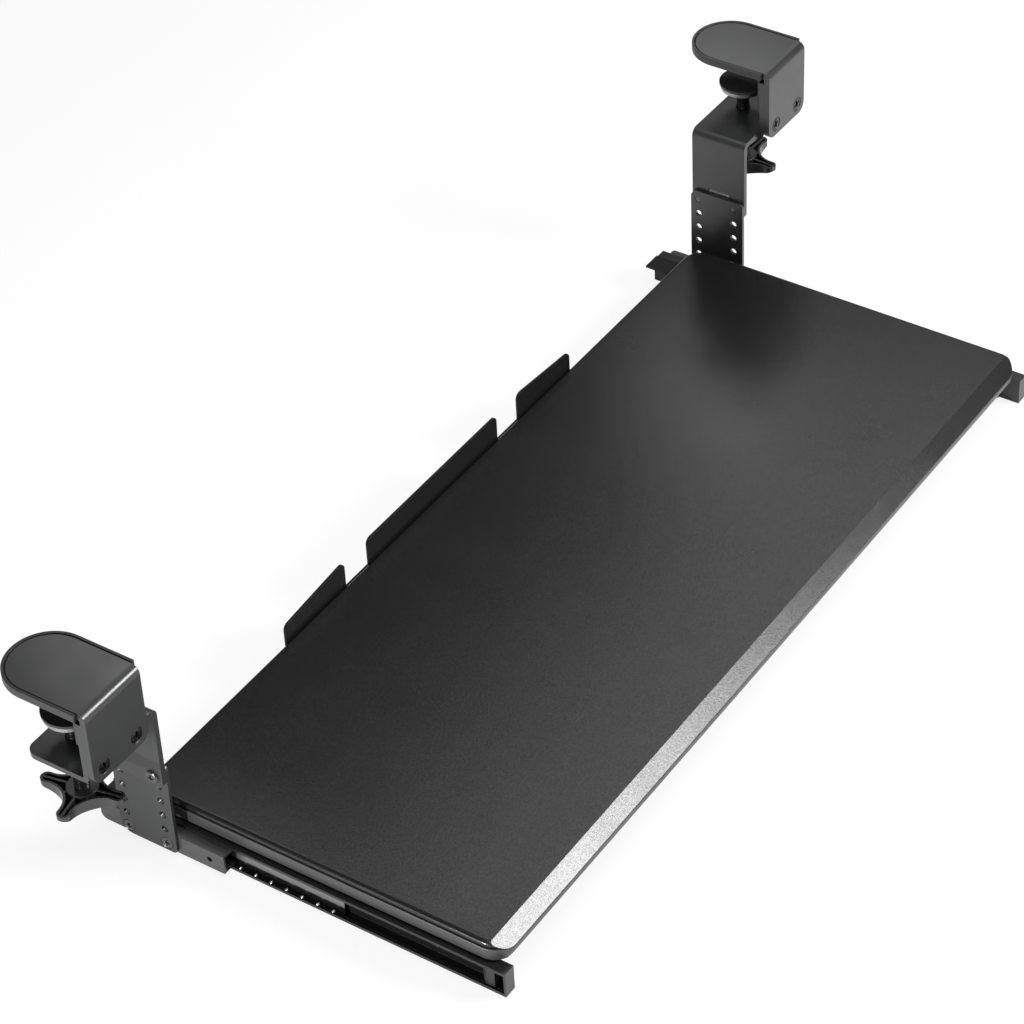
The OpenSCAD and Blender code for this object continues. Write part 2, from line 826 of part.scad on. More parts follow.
module clamp_screws() {
    sink_y = front_y + head_sink;
    neck_y = sink_y + clamp_head_h;
    color("#1c1c1c") on_both() each_clamp_screw() {
        rod_y(0, sink_y, neck_y, 0, clamp_head_r, clamp_screw_r);
        rod_y(0, neck_y - join, flange_in_y - seat_gap, 0, clamp_screw_r, clamp_screw_r);
    }
}

// Outline of the rubber pad or of the plate inside it
module d_shape(r, y0) {
    box2(clamp_x - r, y0, clamp_x + r, plate_arc_y);
    translate([clamp_x, plate_arc_y]) circle(r);
}

// Rubber under the upper plate, with a rim round it and a lining in front of the desk
module top_pad() {
    color("#4f4f4f") {
        along_z(0, pad_base_t) d_shape(pad_r, pad_front_y);
        along_z(pad_base_t - join, clamp_t + pad_rim_up + join) difference() {
            d_shape(pad_r, pad_front_y);
            d_shape(plate_r + pad_rim_gap, pad_front_y - past);
        }
        along_z(pad_liner_z, join - pad_liner_z)
            box2(clamp_x0, flange_in_y, clamp_x1, flange_in_y + pad_liner_t);
    }
}

module top_pad_right() {
    top_pad();
}

module top_pad_left() {
    on_left() top_pad();
}

// Outline of the recess in the hanger, along its length
module recess_outline() {
    end = (recess_len - recess_h) / 2;
    for (s = [-1, 1]) translate([s * end, 0]) circle(recess_h / 2);
    box2(-end, -recess_h / 2, end, recess_h / 2);
}

// Jaw under the desk and hanger down to the tray, before the holes
module jaw_and_hanger() {
    bend_x = bracket_x + jaw_bend_r;
    bend_z = jaw_top_z - jaw_bend_r;
    intersection() {
        along_y(side_front_y, side_rear_y - side_front_y) {
            box2(bend_x, clamp_low_z, clamp_x1, jaw_top_z);
            bend2(bend_x, bend_z, jaw_bend_r, bracket_t, -1, 1);
            box2(bracket_x, -hanger_drop, bracket_x + bracket_t, bend_z);
        }
        along_z(-hanger_drop - past, hanger_drop)
            soft_box(bracket_x - past, side_front_y - past, clamp_x1, side_rear_y, [0, 0, front_corner_r, 0]);
        along_x(bracket_x - past, clamp_x1 - bracket_x + 2 * past)
            soft_box(side_front_y, -hanger_drop, side_rear_y, 0, [hanger_corner_r, 3, 0, 0]);
    }
}

// Lower bracket: flange behind the front plate, jaw under the desk, hanger down to the tray
module lower_bracket() {
    flange_z = clamp_low_z + flange_bend_r;
    screw_r = clamp_screw_r + run_gap;
    spindle_hole_r = spindle_r + 0.5;
    recess_y = hole_front_y + hole_column_gap / 2 - 1;
    recess_z = -side_top_drop + recess_h / 2 + 0.2;
    color("#858585") difference() {
        union() {
            along_x(clamp_x0, clamp_w) {
                box2(flange_out_y, flange_z, flange_in_y, flange_top_z);
                bend2(flange_out_y + flange_bend_r, flange_z, flange_bend_r, bracket_t, -1, -1);
            }
            jaw_and_hanger();
        }
        each_clamp_screw() rod_y(0, flange_out_y - past, flange_in_y + past, 0, screw_r, screw_r);
        rod_z(clamp_x, spindle_y, clamp_low_z - past, jaw_top_z + past, spindle_hole_r, spindle_hole_r);
        side_holes(bracket_x - past, bracket_x + bracket_t + past, 0, 0, adjust_r);
        along_x(bracket_x - past, recess_depth + past) translate([recess_y, recess_z]) recess_outline();
    }
}

module lower_bracket_right() {
    lower_bracket();
}

module lower_bracket_left() {
    on_left() lower_bracket();
}

module clamp_nut() {
    bore_r = spindle_r + run_gap;
    color("#9a9a9a") difference() {
        translate([clamp_x, spindle_y, nut_low_z]) cylinder(h = nut_h, r = nut_af / 2 / cos(30), $fn = 6);
        rod_z(clamp_x, spindle_y, nut_low_z - past, clamp_low_z + past, bore_r, bore_r);
    }
}

module clamp_nut_right() {
    clamp_nut();
}

module clamp_nut_left() {
    on_left() clamp_nut();
}

module spindle() {
    chamfer = 1;
    shoulder_z = socket_low_z - loose_gap;
    color("#9a9a9a") {
        rod_z(clamp_x, spindle_y, shoulder_z - join, disc_top_z - 1.5, pin_r, pin_r);
        rod_z(clamp_x, spindle_y, shoulder_z - chamfer, shoulder_z, spindle_r, spindle_r - chamfer);
        rod_z(clamp_x, spindle_y, crown_z + 3, shoulder_z - chamfer + join, spindle_r, spindle_r);
    }
}

module spindle_right() {
    spindle();
}

module spindle_left() {
    on_left() spindle();
}

module pressure_disc() {
    bore_r = pin_r + run_gap;
    color("#777777") difference() {
        union() {
            rod_z(clamp_x, spindle_y, disc_low_z, disc_top_z, disc_r, disc_r);
            rod_z(clamp_x, spindle_y, socket_low_z, disc_low_z + join, socket_low_r, socket_r);
        }
        rod_z(clamp_x, spindle_y, socket_low_z - past, disc_top_z - 1.2, bore_r, bore_r);
    }
}

module pressure_disc_right() {
    pressure_disc();
}

module pressure_disc_left() {
    on_left() pressure_disc();
}

module pressure_pad() {
    r = disc_r + disc_pad_over;
    color("#3a3a3a") rod_z(clamp_x, spindle_y, disc_top_z, disc_pad_top_z, r, r);
}

module pressure_pad_right() {
    pressure_pad();
}

module pressure_pad_left() {
    on_left() pressure_pad();
}

// Point at a radius and an angle
function polar(r, a) = [r * cos(a), r * sin(a)];

// Outline of the knob, drawn in by a margin: four arms that taper to round tips, where each
// hollow side is an arc that touches both tips and passes the waist
module knob_outline(margin) {
    tip_c = knob_r - knob_tip_r;
    lean = knob_tip_r - knob_waist_r;
    bite_d = (tip_c * tip_c - lean * lean) / (2 * lean + sqrt(2) * tip_c);
    bite_r = bite_d - knob_waist_r;
    tip_r = knob_tip_r - margin;
    share = tip_r / (bite_r + knob_tip_r);
    difference() {
        polygon([
            for (a = [0 : 90 : 270], s = [-45, 45])
                polar(tip_c, a) * (1 - share) + polar(bite_d, a + s) * share
        ]);
        for (a = [45 : 90 : 315]) translate(polar(bite_d, a)) circle(bite_r + margin);
    }
    for (a = [0 : 90 : 270]) translate(polar(tip_c, a)) circle(tip_r);
}

// Space above the knob's crown, raised by a height
module above_crown(up) {
    translate([0, 0, crown_z + crown_r + up]) sphere(crown_r, $fn = 192);
}

// Ribs along the arms and towards the waists, and the hub
module knob_ribs() {
    h = knob_h + past;
    rod_z(0, 0, crown_z, crown_z + h, knob_hub_r, knob_hub_r);
    for (a = [0 : 45 : 135]) rotate([0, 0, a])
        translate([-knob_r, -knob_rib_t / 2, crown_z]) cube([2 * knob_r, knob_rib_t, h]);
}

// Star knob: crowned below, hollow and ribbed above
module knob(turn) {
    bore_r = spindle_r + press_gap;
    color("#151515") translate([clamp_x, spindle_y, 0]) rotate([0, 0, turn]) difference() {
        union() {
            difference() {
                intersection() {
                    along_z(crown_z - past, knob_h + past) knob_outline(0);
                    above_crown(0);
                }
                difference() {
                    intersection() {
                        along_z(crown_z, knob_h + past) knob_outline(knob_wall);
                        above_crown(knob_floor_t);
                    }
                    knob_ribs();
                }
            }
            rod_z(0, 0, rim_z - past, hub_top_z, knob_hub_r, knob_hub_r);
        }
        rod_z(0, 0, crown_z + 3 - seat_gap, hub_top_z + past, bore_r, bore_r);
    }
}

module knob_right() {
    knob(knob_turn_right);
}

module knob_left() {
    on_left() knob(knob_turn_left);
}

tray_board();
edge_band();
rear_stop();
stop_screws();
tray_screws();
slide_rivets();
clamp_screws();
hanger_screws();
slide_screws();
clamp_top_left();
clamp_top_right();
top_pad_left();
top_pad_right();
lower_bracket_left();
lower_bracket_right();
side_plate_left();
side_plate_right();
clamp_nut_left();
clamp_nut_right();
spindle_left();
spindle_right();
knob_left();
knob_right();
pressure_disc_left();
pressure_disc_right();
pressure_pad_left();
pressure_pad_right();
fixed_rail_left();
fixed_rail_right();
ball_cage_left();
ball_cage_right();
balls_left();
balls_right();
moving_rail_left();
moving_rail_right();
tray_flange_left();
tray_flange_right();
rail_bumper_left();
rail_bumper_right();
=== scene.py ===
import math
import bpy
import numpy as np
from mathutils import Matrix, Vector


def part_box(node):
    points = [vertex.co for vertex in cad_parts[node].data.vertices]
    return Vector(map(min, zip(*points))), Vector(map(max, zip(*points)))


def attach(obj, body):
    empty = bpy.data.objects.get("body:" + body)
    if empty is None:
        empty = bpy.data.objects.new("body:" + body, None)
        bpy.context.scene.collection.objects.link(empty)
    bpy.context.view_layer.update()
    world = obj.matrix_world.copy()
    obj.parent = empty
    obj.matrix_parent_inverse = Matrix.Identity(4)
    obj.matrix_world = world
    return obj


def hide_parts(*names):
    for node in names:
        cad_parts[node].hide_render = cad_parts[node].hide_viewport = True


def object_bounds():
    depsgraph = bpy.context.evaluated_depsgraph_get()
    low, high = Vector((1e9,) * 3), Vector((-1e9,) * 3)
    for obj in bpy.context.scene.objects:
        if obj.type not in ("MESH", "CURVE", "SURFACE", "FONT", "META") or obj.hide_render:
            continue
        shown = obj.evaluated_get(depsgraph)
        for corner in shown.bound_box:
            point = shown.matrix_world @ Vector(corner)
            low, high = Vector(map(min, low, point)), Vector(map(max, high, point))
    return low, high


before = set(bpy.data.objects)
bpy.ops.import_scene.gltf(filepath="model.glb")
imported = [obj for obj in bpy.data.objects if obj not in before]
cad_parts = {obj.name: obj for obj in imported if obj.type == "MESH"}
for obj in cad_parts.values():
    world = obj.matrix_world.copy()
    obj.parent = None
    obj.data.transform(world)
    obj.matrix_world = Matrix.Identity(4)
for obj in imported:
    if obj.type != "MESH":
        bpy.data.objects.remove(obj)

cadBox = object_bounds()
mm = 0.001
perMetre = 1000
print("frame loaded:", len(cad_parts), "nodes")


def linearColour(hexCode):
    # sRGB hex to linear, channel by channel, and full opacity
    values = [int(hexCode[i:i + 2], 16) / 255 for i in (1, 3, 5)]
    return [v / 12.92 if v <= 0.04045 else ((v + 0.055) / 1.055) ** 2.4 for v in values] + [1.0]


def addNode(tree, kind, settings=None, links=None):
    # settings: property name, input name or input number to value; links: input to the socket that feeds it
    node = tree.nodes.new(kind)
    for name, value in (settings or {}).items():
        if isinstance(name, str) and hasattr(node, name):
            setattr(node, name, value)
        else:
            node.inputs[name].default_value = value
    for name, socket in (links or {}).items():
        tree.links.new(socket, node.inputs[name])
    return node


def paintedLightBox(tree, look, place, colour):
    # Painted highlight: a pale colour inside a small box, standing for a lit bar; the given colour outside. Coordinates
    # count without their signs, so one box serves both sides. A point is inside where its distance from the centre over
    # the half size is below 1 on all axes.
    centre = [v * mm for v in look["paintedLightCentreMm"]]
    half = [v * mm for v in look["paintedLightHalfMm"]]
    bothSides = addNode(tree, "ShaderNodeVectorMath", {"operation": "ABSOLUTE"}, {"Vector": place})
    away = addNode(tree, "ShaderNodeVectorMath", {"operation": "SUBTRACT", 1: centre}, {0: bothSides.outputs["Vector"]})
    distance = addNode(tree, "ShaderNodeVectorMath", {"operation": "ABSOLUTE"}, {"Vector": away.outputs["Vector"]})
    ratio = addNode(tree, "ShaderNodeVectorMath", {"operation": "DIVIDE", 1: half}, {0: distance.outputs["Vector"]})
    axes = addNode(tree, "ShaderNodeSeparateXYZ", {}, {"Vector": ratio.outputs["Vector"]})
    largest = axes.outputs["X"]
    for axis in ("Y", "Z"):
        larger = addNode(tree, "ShaderNodeMath", {"operation": "MAXIMUM"}, {0: largest, 1: axes.outputs[axis]})
        largest = larger.outputs[0]
    inside = addNode(tree, "ShaderNodeMath", {"operation": "LESS_THAN", 1: 1.0}, {0: largest})
    mixed = addNode(tree, "ShaderNodeMix", {"data_type": "RGBA"}, {"Factor": inside.outputs[0], "A": colour})
    mixed.inputs["B"].default_value = linearColour(look["paintedLightColour"])
    return mixed.outputs["Result"]


def paintedShadeBand(tree, look, place, drift, colour):
    # Painted shade: below a height the strip turns black, over a border that the slow noise makes uneven.
    # Returns the colour and how far out of the painted shade a point is, 0 under it and 1 above it.
    middle = look["paintedShadeBelowMm"] + look["paintedShadeUnevenMm"] / 2
    soft = look["paintedShadeSoftMm"]
    height = addNode(tree, "ShaderNodeSeparateXYZ", {}, {"Vector": place})
    border = addNode(tree, "ShaderNodeMath", {"operation": "MULTIPLY_ADD", 1: look["paintedShadeUnevenMm"] * mm},
                     {0: drift, 2: height.outputs["Z"]})
    unshaded = addNode(tree, "ShaderNodeMapRange", {"From Min": (middle - soft) * mm, "From Max": (middle + soft) * mm},
                   {"Value": border.outputs[0]})
    mixed = addNode(tree, "ShaderNodeMix", {"data_type": "RGBA"}, {"Factor": unshaded.outputs["Result"], "B": colour})
    mixed.inputs["A"].default_value = linearColour(look["paintedShade"])
    return mixed.outputs["Result"], unshaded.outputs["Result"]


# What a finish has where its own dictionary doesn't say otherwise
usual = {"grainDetail": 3.0, "grainRoughness": 0.6, "driftDetail": 2.0, "driftRange": (0.3, 0.7), "bumpShare": 0.35,
         "arrisMm": 0.35, "arrisSamples": 4, "metallic": 0.0, "specular": 0.5, "ior": 1.5}


def finish(name, ownLook):
    # One recipe for the coated, plated and moulded surfaces: two tones mixed by a fine grain, a roughness that
    # wanders slowly, a bump from the grain, and arrises rounded in the shading.
    look = {**usual, **ownLook}
    material = bpy.data.materials.new(name)
    material.use_nodes = True
    tree = material.node_tree
    tree.nodes.clear()
    place = addNode(tree, "ShaderNodeTexCoord").outputs["Object"]
    where = place
    if "stretch" in look:
        where = addNode(tree, "ShaderNodeMapping", {"Scale": look["stretch"]}, {"Vector": place}).outputs["Vector"]
    grain = addNode(tree, "ShaderNodeTexNoise", {
        "Scale": perMetre / look["grainMm"], "Detail": look["grainDetail"], "Roughness": look["grainRoughness"],
    }, {"Vector": where})
    drift = addNode(tree, "ShaderNodeTexNoise", {
        "Scale": perMetre / look["driftMm"], "Detail": look["driftDetail"],
    }, {"Vector": where})
    tone = addNode(tree, "ShaderNodeMapRange", {
        "From Min": 0.5 - look["grainSpread"], "From Max": 0.5 + look["grainSpread"],
    }, {"Value": grain.outputs["Fac"]})
    mixed = addNode(tree, "ShaderNodeMix", {"data_type": "RGBA"}, {"Factor": tone.outputs["Result"]})
    mixed.inputs["A"].default_value = linearColour(look["dark"])
    mixed.inputs["B"].default_value = linearColour(look["light"])
    colour = mixed.outputs["Result"]
    rough = addNode(tree, "ShaderNodeMapRange", {
        "From Min": look["driftRange"][0], "From Max": look["driftRange"][1],
        "To Min": look["roughness"][0], "To Max": look["roughness"][1],
    }, {"Value": drift.outputs["Fac"]})
    corner = addNode(tree, "ShaderNodeBevel", {"samples": look["arrisSamples"], "Radius": look["arrisMm"] * mm})
    bump = addNode(tree, "ShaderNodeBump", {
        "Strength": look["bump"], "Distance": look["grainMm"] * look["bumpShare"] * mm,
    }, {"Height": grain.outputs["Fac"], "Normal": corner.outputs["Normal"]})
    shader = addNode(tree, "ShaderNodeBsdfPrincipled", {
        "Metallic": look["metallic"], "Specular IOR Level": look["specular"], "IOR": look["ior"],
    }, {"Roughness": rough.outputs["Result"], "Normal": bump.outputs["Normal"]})
    if "glossByGrain" in look:
        low, high = look["glossByGrain"]
        gloss = addNode(tree, "ShaderNodeMapRange", {"To Min": low, "To Max": high}, {"Value": tone.outputs["Result"]})
        tree.links.new(gloss.outputs["Result"], shader.inputs["Specular IOR Level"])
    # Painted highlight: a pale bar painted into the lower bracket's recess
    if "paintedLightColour" in look:
        colour = paintedLightBox(tree, look, place, colour)
    # Painted shade: the cage strip is painted black and not metallic below a height, for the shade inside the channel
    if "paintedShade" in look:
        colour, unshaded = paintedShadeBand(tree, look, place, drift.outputs["Fac"], colour)
        metal = addNode(tree, "ShaderNodeMath", {"operation": "MULTIPLY", 1: look["metallic"]}, {0: unshaded})
        tree.links.new(metal.outputs[0], shader.inputs["Metallic"])
    tree.links.new(colour, shader.inputs["Base Color"])
    addNode(tree, "ShaderNodeOutputMaterial", {}, {"Surface": shader.outputs["BSDF"]})
    return material


# Melamine-faced fibreboard with a fine pearl texture: near black, with a sheen that turns grainy and bright at a low
# angle, because its tiny pores shine less than the pearls between them
boardFace = finish("melamineBoardFace", {
    "dark": "#0f0f10", "light": "#161617", "grainMm": 1.1, "grainDetail": 2.0, "grainSpread": 0.15, "driftMm": 60,
    "roughness": (0.24, 0.28), "bump": 0.2, "glossByGrain": (0.38, 0.6), "arrisMm": 0.5})
# ABS edge strip, trimmed and buffed: lighter in tone than the face, so it reads as a lighter band under the laminate
edgeStrip = finish("absEdgeStrip", {
    "dark": "#343434", "light": "#3d3d3d", "grainMm": 0.7, "grainSpread": 0.25, "driftMm": 30,
    "roughness": (0.3, 0.38), "bump": 0.12, "ior": 1.6})
# Fine powder coat on bent steel: satin charcoal that mirrors the room softly, with a thin bright line on each arris
coat = {"dark": "#1d1e1e", "light": "#242525", "grainMm": 0.6, "grainSpread": 0.22, "driftMm": 25,
        "roughness": (0.3, 0.36), "bump": 0.08, "ior": 1.62, "arrisMm": 0.5}
greyPowderCoat = finish("charcoalPowderCoat", coat)
# The lower bracket has the same coat; the bottom of the recess in its inner face is painted pale, a painted highlight
# that stands for the light bar the right hanger shows above its side plate
bracketCoat = finish("charcoalCoatPaintedLightBar", {
    **coat, "paintedLightCentreMm": (359.0, 21.9, 100.1), "paintedLightHalfMm": (0.6, 9.3, 1.65), "paintedLightColour": "#dcdcda"})
# The same kind of coat in black, duller, on the slide flanges and the rear stop
blackPowderCoat = finish("blackPowderCoat", {
    "dark": "#101011", "light": "#161617", "grainMm": 0.6, "grainSpread": 0.22, "driftMm": 25,
    "roughness": (0.34, 0.42), "bump": 0.15, "specular": 0.25, "arrisMm": 0.5})
# Bright zinc on small turned and pressed steel: cool grey, softly mottled
zincPlate = finish("zincPlatedSteel", {
    "dark": "#858688", "light": "#b0b1b2", "grainMm": 1.4, "grainSpread": 0.3, "driftMm": 12,
    "roughness": (0.26, 0.4), "bump": 0.05, "metallic": 1.0, "arrisMm": 0.2})
# The spindle's steel, dark all over: glints only on the crests
darkSteel = finish("darkSteelThread", {
    "dark": "#2a2a2a", "light": "#484848", "grainMm": 1.0, "grainSpread": 0.3, "driftMm": 6,
    "roughness": (0.2, 0.32), "bump": 0.05, "metallic": 0.9, "arrisMm": 0.15})
# Rolled strip of the fixed slide member under dark clear passivation: fine lines along the length
rolledStrip = finish("rolledSlideStrip", {
    "dark": "#4d4d4e", "light": "#626263", "grainMm": 0.8, "grainSpread": 0.3, "driftMm": 20,
    "roughness": (0.3, 0.42), "bump": 0.06, "metallic": 0.7, "stretch": (1.0, 0.05, 1.0), "arrisMm": 0.3})
# Bright zinc on the cage's thin strip: the light bar above the lower row of balls, which sits in painted shade: below a
# height the strip is painted black for the shade inside the channel
brightStrip = finish("brightZincStrip", {
    "dark": "#7c7c7c", "light": "#969696", "grainMm": 0.8, "grainSpread": 0.3, "driftMm": 14,
    "roughness": (0.26, 0.36), "bump": 0.05, "metallic": 0.8, "stretch": (1.0, 0.08, 1.0), "arrisMm": 0.15,
    "paintedShade": "#060606", "paintedShadeBelowMm": -175.3, "paintedShadeUnevenMm": 0.8, "paintedShadeSoftMm": 0.15})
# Black-plated slide steel: dark and a little glossy, rolled along its length
blackSlideSteel = finish("blackPlatedSlideSteel", {
    "dark": "#101011", "light": "#1a1a1b", "grainMm": 0.8, "grainSpread": 0.3, "driftMm": 20,
    "roughness": (0.26, 0.34), "bump": 0.06, "specular": 0.6, "stretch": (1.0, 0.05, 1.0), "arrisMm": 0.35})
# Black oxide on the clamp screws: nearly black, with sharp glints in the recess
blackOxide = finish("blackOxideSteel", {
    "dark": "#060606", "light": "#0c0c0c", "grainMm": 0.5, "grainSpread": 0.3, "driftMm": 8,
    "roughness": (0.16, 0.24), "bump": 0.05, "specular": 0.3, "arrisMm": 0.1})
# Painted screws on the hanger and side plate: the coat's tone, glossier where the driver has polished it
paintedScrew = finish("paintedSteelScrew", {
    "dark": "#242425", "light": "#303031", "grainMm": 0.5, "grainSpread": 0.3, "driftMm": 5,
    "roughness": (0.2, 0.32), "bump": 0.05, "ior": 1.8, "arrisMm": 0.15})
# Hardened bearing steel, ground and polished: each ball is a small bright dot
bearingSteel = finish("polishedBearingSteel", {
    "dark": "#dededf", "light": "#ededed", "grainMm": 0.3, "grainSpread": 0.3, "driftMm": 3,
    "roughness": (0.18, 0.26), "bump": 0.01, "metallic": 1.0, "arrisMm": 0.05})
# Soft black rubber, moulded: matt, a little dusty
softRubber = finish("mouldedRubber", {
    "dark": "#222222", "light": "#2e2e2e", "grainMm": 0.5, "grainSpread": 0.25, "driftMm": 10,
    "roughness": (0.42, 0.55), "bump": 0.12, "specular": 0.45, "arrisMm": 0.7})
# Glass-filled nylon, injection moulded: near black with a grey sheen along its ribs and rim
mouldedNylon = finish("glassFilledNylon", {
    "dark": "#1c1c1d", "light": "#272728", "grainMm": 0.4, "grainSpread": 0.25, "driftMm": 9,
    "roughness": (0.26, 0.36), "bump": 0.08, "specular": 0.7, "arrisMm": 0.5})
print("finishes made")

nodeFinish = {
    "tray_board": boardFace, "edge_band": edgeStrip, "rear_stop": blackPowderCoat,
    "stop_screws": blackOxide, "tray_screws": blackOxide, "slide_rivets": zincPlate,
    "clamp_screws": blackOxide, "hanger_screws": paintedScrew, "slide_screws": paintedScrew,
    "clamp_top": greyPowderCoat, "lower_bracket": bracketCoat, "side_plate": greyPowderCoat,
    "top_pad": softRubber, "pressure_pad": softRubber, "rail_bumper": softRubber,
    "clamp_nut": zincPlate, "spindle": darkSteel, "pressure_disc": zincPlate, "knob": mouldedNylon,
    "fixed_rail": rolledStrip, "ball_cage": brightStrip, "balls": bearingSteel,
    "moving_rail": blackSlideSteel, "tray_flange": blackPowderCoat,
}
for nodeName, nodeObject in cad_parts.items():
    base = nodeName.rsplit("_", 1)[0] if nodeName.endswith(("_left", "_right")) else nodeName
    nodeObject.data.materials.clear()
    nodeObject.data.materials.append(nodeFinish[base])
print("CAD nodes dressed")

sharpFrom = 38  # degrees between two faces, from which their edge shows


def addPiece(name, points, faces, material, body, replaced):
    # points in mm, in the frame; the piece rides on a body and stands for a CAD node
    mesh = bpy.data.meshes.new(name)
    mesh.from_pydata((np.asarray(points) * mm).tolist(), [], faces)
    mesh.update()
    mesh.polygons.foreach_set("use_smooth", [True] * len(mesh.polygons))
    mesh.set_sharp_from_angle(angle=math.radians(sharpFrom))
    mesh.materials.append(material)
    piece = bpy.data.objects.new(name, mesh)
    bpy.context.scene.collection.objects.link(piece)
    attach(piece, body)
    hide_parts(replaced)
    return piece


def gridFaces(rows, columns, first=0, closeRows=False, flip=False):
    # quads of a rows x columns grid whose columns close up; closeRows joins the last row to the first
    row, column = np.meshgrid(np.arange(rows if closeRows else rows - 1), np.arange(columns), indexing="ij")
    nextRow, nextColumn = (row + 1) % rows, (column + 1) % columns
    corners = ((row, column), (row, nextColumn), (nextRow, nextColumn), (nextRow, column))
    quads = np.stack([r * columns + c for r, c in corners], -1).reshape(-1, 4) + first
    return (quads[:, ::-1] if flip else quads).tolist()


# Edge strip: one closed ring round the board with softened arrises, cut by the sloped front above and the small bevel
# below. Its top stays under the rolled edge, which leaves the dark groove between the two.
# A point of the section at inset i lies i inside the outline, between the heights top(y) and low(y) at its own y.
strip = {"halfW": 343.0, "frontY": -243.0, "rearY": 36.0, "cornerR": 15.0, "cornerSteps": 25, "thick": 2.0,
         "seamZ": -151.9, "lowZ": -161.0, "bevelTopZ": -146.9, "bevelRun": 10.0, "bevelDrop": 8.0, "underBevel": 1.8,
         "arris": 0.75, "arrisSteps": 6}
turn = np.linspace(0, np.pi / 2, strip["cornerSteps"])
outline, outward = [], []
for quarter, (cornerX, cornerY) in enumerate(((1, 1), (-1, 1), (-1, -1), (1, -1))):
    angle = turn + quarter * np.pi / 2
    endY = strip["rearY"] if cornerY > 0 else strip["frontY"]
    centre = np.array([cornerX * (strip["halfW"] - strip["cornerR"]), endY - cornerY * strip["cornerR"]])
    direction = np.stack([np.cos(angle), np.sin(angle)], -1)
    outline.append(centre + strip["cornerR"] * direction)
    outward.append(direction)
outline, outward = np.concatenate(outline), np.concatenate(outward)
arris, steps = strip["arris"], strip["arrisSteps"]
bend = np.linspace(0, np.pi / 2, steps)
near, far = arris * (1 - np.sin(bend)), arris * (1 - np.cos(bend))
unset = np.full(steps, np.nan)
inset = np.concatenate([near, far, [strip["thick"], strip["thick"]]])
fromLow = np.concatenate([far, unset, [np.nan, 0]])
fromTop = np.concatenate([unset, near, [0, np.nan]])
flat = outline[None] - outward[None] * inset[:, None, None]
pastFront = flat[..., 1] - strip["frontY"]
slope = strip["bevelDrop"] / strip["bevelRun"]
slopeZ = strip["bevelTopZ"] - slope * np.maximum(strip["bevelRun"] - pastFront, 0)
topZ = np.minimum(strip["seamZ"], slopeZ)
lowZ = np.maximum(strip["lowZ"], strip["lowZ"] + strip["underBevel"] - pastFront)
fromBelow = lowZ + np.nan_to_num(fromLow)[:, None]
fromAbove = topZ - np.nan_to_num(fromTop)[:, None]
height = np.where(np.isnan(fromLow)[:, None], fromAbove, fromBelow)
ring = np.concatenate([flat, height[..., None]], -1)
ringFaces = gridFaces(len(inset), len(outline), closeRows=True)
addPiece("boardEdgeStrip", ring.reshape(-1, 3), ringFaces, edgeStrip, "tray", "edge_band")
print("edge strip built")

# Threaded spindle: radius(z, angle) = minorR + (majorR - minorR) * flank(z / pitch - angle / turn), where the flank
# rises and falls in a straight line, faded out at both ends; then the plain pin
thread = {"pitch": 1.5, "majorR": 5.0, "minorR": 4.1, "steepness": 2.4, "rootFlat": 0.15, "steps": 12, "around": 48,
          "fade": 1.2, "pinR": 3.5, "pinLong": 6.4, "pinChamfer": 0.3}
for side in ("left", "right"):
    low, high = (np.array(corner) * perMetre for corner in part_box("spindle_" + side))
    centre = (low + high) / 2
    z = np.arange(low[2], high[2] - thread["pinLong"], thread["pitch"] / thread["steps"])
    angle = np.arange(thread["around"]) * 2 * np.pi / thread["around"]
    phase = (z[:, None] / thread["pitch"] - angle[None] / (2 * np.pi)) % 1
    flank = np.clip(thread["steepness"] * np.abs(phase - 0.5) - thread["rootFlat"], 0, 1)
    ends = np.clip(np.minimum(z - z[0], z[-1] - z) / thread["fade"], 0, 1)[:, None]
    radius = thread["minorR"] + (thread["majorR"] - thread["minorR"]) * flank * ends
    pinR, chamfer = thread["pinR"], thread["pinChamfer"]
    pinRings = [(pinR, z[-1]), (pinR, high[2] - chamfer), (pinR - chamfer, high[2])]
    count = len(angle)
    radius = np.concatenate([radius] + [np.full((1, count), r) for r, _ in pinRings])
    z = np.concatenate([z, [pinZ for _, pinZ in pinRings]])
    x, y = centre[0] + radius * np.cos(angle), centre[1] + radius * np.sin(angle)
    points = np.stack([x, y, np.repeat(z[:, None], count, 1)], -1).reshape(-1, 3)
    lowEnd, highEnd = list(range(count))[::-1], list(range(len(points) - count, len(points)))
    faces = gridFaces(len(z), count) + [lowEnd, highEnd]
    name = "threadedSpindle" + side.capitalize()
    addPiece(name, points, faces, darkSteel, "screw_" + side, "spindle_" + side)
print("spindles built")


def crossRecess(x, y, size):
    # depth of a driver's cross: two wings that taper to the middle and get shallower outwards
    wide, far = np.minimum(abs(x), abs(y)), np.maximum(abs(x), abs(y))
    wings = np.clip((size["wing"] - wide) / size["wall"], 0, 1)
    ends = np.clip((size["reach"] - far) / (2 * size["wall"]), 0, 1)
    return size["depth"] * wings * ends * (1 - size["rise"] * far / size["reach"])


